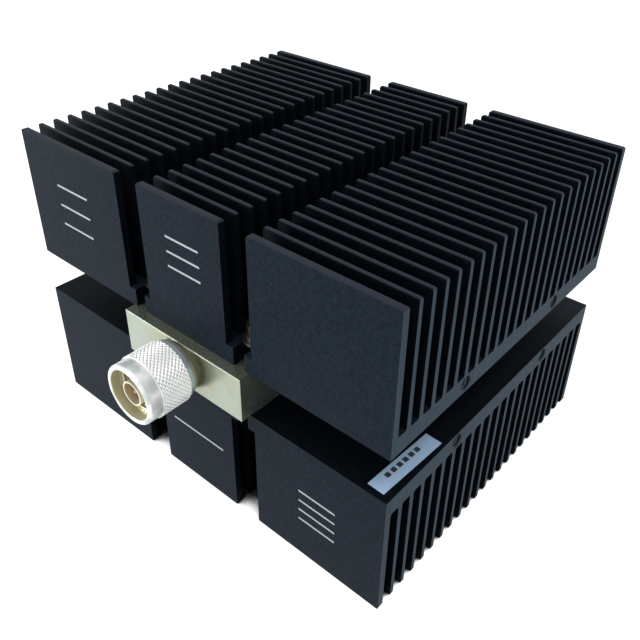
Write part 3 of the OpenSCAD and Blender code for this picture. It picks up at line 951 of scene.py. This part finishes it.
class COAX_LOAD_OT_hole_threads(bpy.types.Operator):
    """Adds the bare threads in the tapped side holes"""

    bl_idname = "coax_load.hole_threads"
    bl_label = "Threads of the side holes"

    def execute(self, context):
        settings = context.scene.load_sinks
        size = in_mm(settings)
        bare = worn_metal_finish("bare_tapped_aluminium", settings.bare,
                                 tinted(settings.bare, 0.6, 0.6, 0.6), roughness=0.34)
        low, high = cad_box
        middle_z = (low.z + high.z) / 2 / MM
        for side, name in ((-1, "left"), (1, "right")):
            x = (high.x if side > 0 else low.x) / MM
            sleeves = [
                thread_sleeve(size, x, end * size.hole_pitch / 2 + side * size.hole_shift,
                              middle_z + row * size.hole_rows / 2)
                for end in (-1, 1) for row in (-1, 1)]
            new_piece(f"{name}_hole_threads", *joined(sleeves), bare, "body", "black_anodised")
        return {"FINISHED"}


class COAX_LOAD_OT_block(bpy.types.Operator):
    """Finishes the block and its lid in chromate plating"""

    bl_idname = "coax_load.block"
    bl_label = "Block and lid"

    def execute(self, context):
        dress(PLATED_PARTS, plated_finish(context.scene.load_block))
        return {"FINISHED"}


class COAX_LOAD_OT_fasteners(bpy.types.Operator):
    """Finishes the screws, the washers, the lock washers and the retaining ring"""

    bl_idname = "coax_load.fasteners"
    bl_label = "Fasteners"

    def execute(self, context):
        for names, finish, colour, shade, roughness in (
                (SCREWS, "screw_steel", (0.16, 0.14, 0.11), (0.10, 0.09, 0.07), 0.34),
                (WASHERS, "washer_steel", (0.15, 0.14, 0.12), (0.10, 0.09, 0.08), 0.40),
                (SPRINGS, "spring_steel", (0.50, 0.50, 0.50), (0.36, 0.36, 0.35), 0.32)):
            dress(names, worn_metal_finish(finish, colour, shade, roughness))
        return {"FINISHED"}


class COAX_LOAD_OT_coupling_nut(bpy.types.Operator):
    """Builds the coupling nut with its diamond knurl and its inner thread"""

    bl_idname = "coax_load.coupling_nut"
    bl_label = "Coupling nut"

    def execute(self, context):
        settings = context.scene.load_nut
        rows, crossed = nut_rows(settings)
        points, faces = revolved(rows, settings.columns, crossed)
        new_piece("knurled_coupling_nut", points, faces, nut_finish(settings), "nut",
                  "silver_plated_brass", ["coupling_nut"])
        return {"FINISHED"}


class COAX_LOAD_OT_connector(bpy.types.Operator):
    """Finishes the connector's shell, pin, bead and gasket"""

    bl_idname = "coax_load.connector"
    bl_label = "Connector"

    def execute(self, context):
        dress(["connector_shell"], shell_finish())
        dress(["contact_pin"], worn_metal_finish(
            "gold_plating", (0.58, 0.48, 0.31), (0.48, 0.39, 0.25), roughness=0.42, size=0.4))
        dress(["bead"], matt_finish(
            "bead_plastic", (0.62, 0.54, 0.39), (0.54, 0.46, 0.33), roughness=0.42,
            subsurface_weight=0.1))
        dress(["gasket"], matt_finish(
            "gasket_rubber", (0.36, 0.12, 0.05), (0.24, 0.08, 0.035), roughness=0.62))
        return {"FINISHED"}


class COAX_LOAD_OT_resistor(bpy.types.Operator):
    """Finishes the resistor inside the block"""

    bl_idname = "coax_load.resistor"
    bl_label = "Resistor"

    def execute(self, context):
        dress(["resistor_flange"], worn_metal_finish(
            "copper_flange", (0.80, 0.46, 0.32), (0.62, 0.32, 0.20), roughness=0.34))
        dress(["resistor_tab"], worn_metal_finish(
            "silver_foil", (0.88, 0.88, 0.86), (0.74, 0.74, 0.72), roughness=0.26))
        dress(CERAMICS, matt_finish(
            "ceramic", (0.84, 0.83, 0.78), (0.74, 0.73, 0.68), roughness=0.5))
        return {"FINISHED"}


class COAX_LOAD_OT_label(bpy.types.Operator):
    """Finishes the label and adds a row of plain blocks to it"""

    bl_idname = "coax_load.label"
    bl_label = "Label"

    def execute(self, context):
        settings = context.scene.load_print
        size = in_mm(settings)
        dress(["serial_label"], matt_finish(
            "label_film", (0.32, 0.47, 0.66), (0.38, 0.53, 0.71), roughness=0.34, size=0.5,
            relief=0.004, coat_weight=0.3))
        low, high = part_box("serial_label")
        top = Vector(((low.x + high.x) / 2, (low.y + high.y) / 2, high.z)) / MM
        turn = Matrix.Rotation(-settings.slant, 4, "Z")
        half_w = size.block_width / 2
        half_l = size.block_length / 2
        blocks = []
        for number in range(settings.blocks):
            along = (number - (settings.blocks - 1) / 2) * size.block_pitch + BLOCKS_Y
            points, faces = slab((BLOCKS_X - half_w, along - half_l, -PRINT_SINK),
                                 (BLOCKS_X + half_w, along + half_l, size.thickness))
            blocks.append(([top + turn @ Vector(point) for point in points], faces))
        new_piece("label_blocks", *joined(blocks),
                  matt_finish("label_ink", settings.ink, (0.035, 0.040, 0.052),
                              roughness=0.5),
                  "body", "label_film")
        return {"FINISHED"}


class COAX_LOAD_OT_printed_bars(bpy.types.Operator):
    """Adds plain painted bars to the front faces"""

    bl_idname = "coax_load.printed_bars"
    bl_label = "Printed bars"

    def execute(self, context):
        settings = context.scene.load_print
        size = in_mm(settings)
        front_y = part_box("upper_sink")[0].y / MM
        half_h = size.bar_height / 2
        bars = [slab((x - length / 2, front_y - size.thickness, z - half_h),
                     (x + length / 2, front_y + PRINT_SINK, z + half_h))
                for x, z, length in PRINTED_BARS]
        new_piece("printed_bars", *joined(bars),
                  matt_finish("white_paint", settings.paint, (0.30, 0.34, 0.38),
                              roughness=0.5),
                  "body", "label_film")
        return {"FINISHED"}


class COAX_LOAD_OT_stage(bpy.types.Operator):
    """Adds the floor, the studio light and the camera"""

    bl_idname = "coax_load.stage"
    bl_label = "Stage"

    def execute(self, context):
        settings = context.scene.load_stage
        scene = context.scene
        scene.view_settings.view_transform = "Standard"
        self.add_floor(scene, settings)
        self.add_world(scene, settings)
        self.add_lamps(scene, settings)
        self.add_camera(scene, settings)
        return {"FINISHED"}

    def add_floor(self, scene, settings):
        """A wide white floor that keeps the load's shadow and a soft shade close round it."""
        mesh = bpy.data.meshes.new("floor")
        mesh.from_pydata([(x * FLOOR_HALF, y * FLOOR_HALF, 0)
                          for x, y in ((-1, -1), (1, -1), (1, 1), (-1, 1))], [], [(0, 1, 2, 3)])
        finish = Finish("floor_white")
        grain = finish.noise(4.0, detail=2)
        around = finish.node("AmbientOcclusion", {"samples": 32}, {"Distance": SHADE_REACH})
        openness = Value(finish, around.outputs["AO"]).fade(SHADE_FULL, SHADE_END)
        paint = finish.mix(grain, settings.floor_colour,
                           tinted(settings.floor_colour, 0.98, 0.98, 0.98))
        paint = finish.mix(openness, FLOOR_SHADE, paint)
        lit = finish.node("BsdfPrincipled", sockets={
            "Base Color": paint, "Roughness": 1.0, "Specular IOR Level": 0.0})
        glow = finish.node("Emission", sockets={"Color": (1, 1, 1), "Strength": GLOW})
        camera, reflection = finish.seen_directly()
        share = (camera * GLOW_SEEN).greater(reflection * GLOW_REFLECTED) * openness
        blend = finish.node("MixShader", sockets={
            0: share, 1: lit.outputs[0], 2: glow.outputs[0]})
        finish.node("OutputMaterial", sockets={"Surface": blend.outputs[0]})
        mesh.materials.append(finish.material)
        floor = bpy.data.objects.new("floor", mesh)
        scene.collection.objects.link(floor)

    def add_world(self, scene, settings):
        """Even light from all round, with a white background where it is seen."""
        world = bpy.data.worlds.new("studio")
        shader = Shader(world)
        camera, reflection = shader.seen_directly()
        strength = settings.ambient + camera.greater(reflection) * (1 - settings.ambient)
        background = shader.node("Background", sockets={
            "Color": (1, 1, 1), "Strength": strength})
        shader.node("OutputWorld", sockets={"Surface": background.outputs[0]})
        scene.world = world

    def add_lamps(self, scene, settings):
        """Square area lamps that point at the load."""
        for name, power, place, width in LAMPS:
            light = bpy.data.lights.new(name, "AREA")
            light.energy = getattr(settings, power)
            light.size = width
            lamp = bpy.data.objects.new(name, light)
            lamp.location = place
            ahead = Vector(LAMP_TARGET) - Vector(place)
            lamp.rotation_euler = ahead.to_track_quat("-Z", "Y").to_euler()
            scene.collection.objects.link(lamp)

    def add_camera(self, scene, settings):
        """The photograph's camera, from its place, its three angles and its shifted lens."""
        azimuth, elevation = settings.camera_azimuth, settings.camera_elevation
        ahead = Vector((-math.sin(azimuth) * math.cos(elevation),
                        math.cos(azimuth) * math.cos(elevation), -math.sin(elevation)))
        data = bpy.data.cameras.new("camera")
        data.sensor_width = SENSOR_WIDTH
        data.lens = settings.lens
        data.shift_x, data.shift_y = settings.shift
        data.clip_start, data.clip_end = NEAREST, FARTHEST
        camera = bpy.data.objects.new("camera", data)
        level = ahead.to_track_quat("-Z", "Y").to_matrix().to_4x4()
        roll = Matrix.Rotation(settings.camera_roll, 4, "Z")
        camera.matrix_world = Matrix.Translation(settings.camera_place) @ level @ roll
        scene.collection.objects.link(camera)
        scene.camera = camera


class COAX_LOAD_PT_panel(bpy.types.Panel):
    """Lists the steps that dress the load"""

    bl_idname = "COAX_LOAD_PT_panel"
    bl_label = "Coaxial load"
    bl_space_type = "VIEW_3D"
    bl_region_type = "UI"
    bl_category = "Coaxial load"

    def draw(self, context):
        for operator in OPERATORS:
            self.layout.operator(operator.bl_idname)
        for name in SETTINGS:
            box = self.layout.box()
            group = getattr(context.scene, name)
            for field in type(group).__annotations__:
                box.prop(group, field)


SETTINGS = {
    "load_sinks": HeatSinkSettings,
    "load_block": BlockSettings,
    "load_nut": NutSettings,
    "load_print": PrintSettings,
    "load_stage": StageSettings,
}
OPERATORS = (
    COAX_LOAD_OT_heat_sinks,
    COAX_LOAD_OT_hole_threads,
    COAX_LOAD_OT_block,
    COAX_LOAD_OT_fasteners,
    COAX_LOAD_OT_coupling_nut,
    COAX_LOAD_OT_connector,
    COAX_LOAD_OT_resistor,
    COAX_LOAD_OT_label,
    COAX_LOAD_OT_printed_bars,
    COAX_LOAD_OT_stage,
)


def register():
    for made in (*SETTINGS.values(), *OPERATORS, COAX_LOAD_PT_panel):
        bpy.utils.register_class(made)
    for name, group in SETTINGS.items():
        setattr(bpy.types.Scene, name, PointerProperty(type=group))


def unregister():
    for name in SETTINGS:
        delattr(bpy.types.Scene, name)
    for made in reversed((*SETTINGS.values(), *OPERATORS, COAX_LOAD_PT_panel)):
        bpy.utils.unregister_class(made)


def main():
    """Dresses the load step by step."""
    register()
    bpy.ops.coax_load.heat_sinks()
    bpy.ops.coax_load.hole_threads()
    bpy.ops.coax_load.block()
    bpy.ops.coax_load.fasteners()
    bpy.ops.coax_load.coupling_nut()
    bpy.ops.coax_load.connector()
    bpy.ops.coax_load.resistor()
    bpy.ops.coax_load.label()
    bpy.ops.coax_load.printed_bars()
    bpy.ops.coax_load.stage()


if __name__ == "__main__":
    main()
